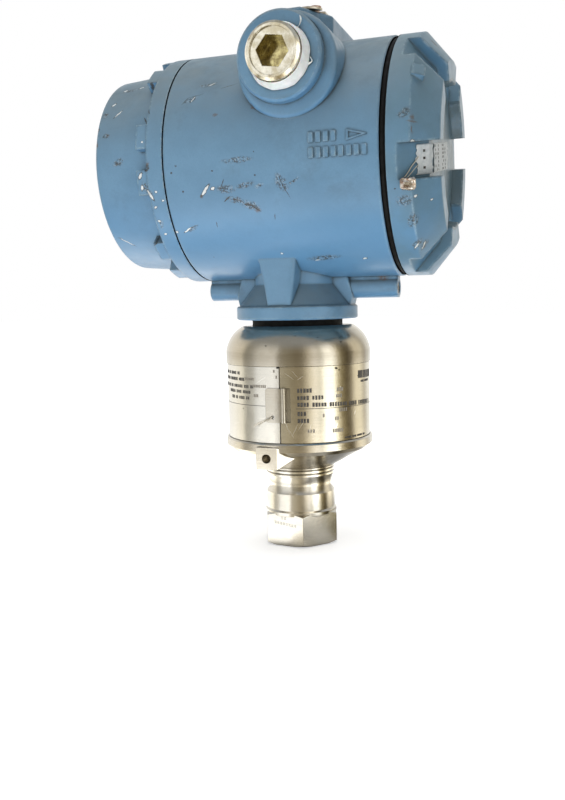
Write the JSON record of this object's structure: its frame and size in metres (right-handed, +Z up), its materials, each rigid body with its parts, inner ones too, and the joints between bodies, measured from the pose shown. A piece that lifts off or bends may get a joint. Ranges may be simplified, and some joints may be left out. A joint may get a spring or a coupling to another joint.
{
  "type": "pressure transmitter",
  "caption": "In-line pressure transmitter: blue twin-compartment cast housing with screwed covers on a stainless sensor module with hexagonal female connection.",
  "frame": {"origin": "centre of the process connection's mouth, on the hexagon's bottom face", "axes": "+Z up the sensor module, +X along the housing to the terminal cover, -Y to the plugged conduit entry"},
  "size_m": [0.1412, 0.111, 0.2188],
  "materials": {
    "blue_enamel": "cast aluminium under worn blue enamel",
    "stainless": "turned stainless steel",
    "label_foil": "etched stainless foil",
    "plug_plate": "bright plated steel",
    "copper_screw": "rusty plated steel",
    "rubber_black": "black rubber",
    "white_tape": "thread tape",
    "paper_tape": "torn white paper tape",
    "crimp_copper": "crimped soft metal",
    "window_glass": "clear",
    "display_glass": "grey-green display",
    "plastic_black": "moulded black",
    "plastic_grey": "moulded grey",
    "board_green": "coated circuit board",
    "bare_aluminium": "turned"
  },
  "bodies": {
    "module": {"process_fitting": "stainless", "sensor_body": "stainless", "weld_collar": "stainless", "isolating_diaphragm": "stainless", "sensor_capsule": "stainless", "board_posts": "stainless", "sensor_board": "board_green", "fill_tube": "stainless", "module_shroud": "stainless", "neck_header": "plastic_black", "header_cable": "plastic_grey", "neck_seal": "rubber_black", "nameplate_band": "label_foil", "clasp_tab": "stainless", "clasp_pin": "stainless", "tag_wire": "stainless"},
    "housing": {"housing": "blue_enamel", "conduit_plug": "plug_plate", "thread_tape": "white_tape", "plate_screws": "copper_screw", "zero_boot": "rubber_black", "span_boot": "rubber_black", "rotation_set_screw": "stainless", "cover_lock_screws": "stainless", "electronics_board": "board_green", "electronics_carrier": "plastic_black", "board_parts": "plastic_black", "board_screws": "stainless", "display_module": "plastic_grey", "display_glass_plate": "display_glass", "terminal_block": "plastic_black", "terminal_screws": "stainless", "block_screws": "stainless"},
    "terminal_seal": {"terminal_cover_oring": "rubber_black"},
    "terminal_cap": {"terminal_cover": "blue_enamel", "tamper_tape": "paper_tape", "crimp_seal": "crimp_copper"},
    "meter_seal": {"meter_cover_oring": "rubber_black"},
    "meter_cap": {"meter_cover": "blue_enamel", "glass_gasket": "rubber_black", "cover_glass": "window_glass", "glass_ring": "bare_aluminium"},
    "top_plate": {"top_plate": "stainless"},
    "zero_button": {"zero_button": "plastic_black"},
    "span_button": {"span_button": "plastic_black"}
  },
  "joints": [
    {"name": "housing_turn", "type": "hinge", "parent": "module", "child": "housing", "pos_m": [0, 0, 0.105], "axis": [0, 0, 1], "range_deg": [-180, 180]},
    {"name": "terminal_cover_travel", "type": "slide", "parent": "housing", "child": "terminal_seal", "axis": [1, 0, 0], "range_m": [0, 0.00801]},
    {"name": "terminal_cover_turn", "type": "hinge", "parent": "terminal_seal", "child": "terminal_cap", "pos_m": [0.05, 0, 0.163], "axis": [1, 0, 0], "range_deg": [0, 1440]},
    {"name": "meter_cover_travel", "type": "slide", "parent": "housing", "child": "meter_seal", "axis": [-1, 0, 0], "range_m": [0, 0.00801]},
    {"name": "meter_cover_turn", "type": "hinge", "parent": "meter_seal", "child": "meter_cap", "pos_m": [-0.05, 0, 0.163], "axis": [-1, 0, 0], "range_deg": [0, 1440]},
    {"name": "top_plate_swing", "type": "hinge", "parent": "housing", "child": "top_plate", "pos_m": [0.0041, 0.026, 0.2168], "axis": [0, 0, 1], "range_deg": [-80, 0]},
    {"name": "zero_press", "type": "slide", "parent": "housing", "child": "zero_button", "axis": [0, 0, -1], "range_m": [0, 0.0015], "stiffness_N_per_m": 600, "deforming": ["zero_boot"]},
    {"name": "span_press", "type": "slide", "parent": "housing", "child": "span_button", "axis": [0, 0, -1], "range_m": [0, 0.0015], "stiffness_N_per_m": 600, "deforming": ["span_boot"]}
  ],
  "couplings": [
    {"joint": "terminal_cover_travel", "follows": "terminal_cover_turn", "m_per_rad": 0.00031831},
    {"joint": "meter_cover_travel", "follows": "meter_cover_turn", "m_per_rad": 0.00031831}
  ]
}
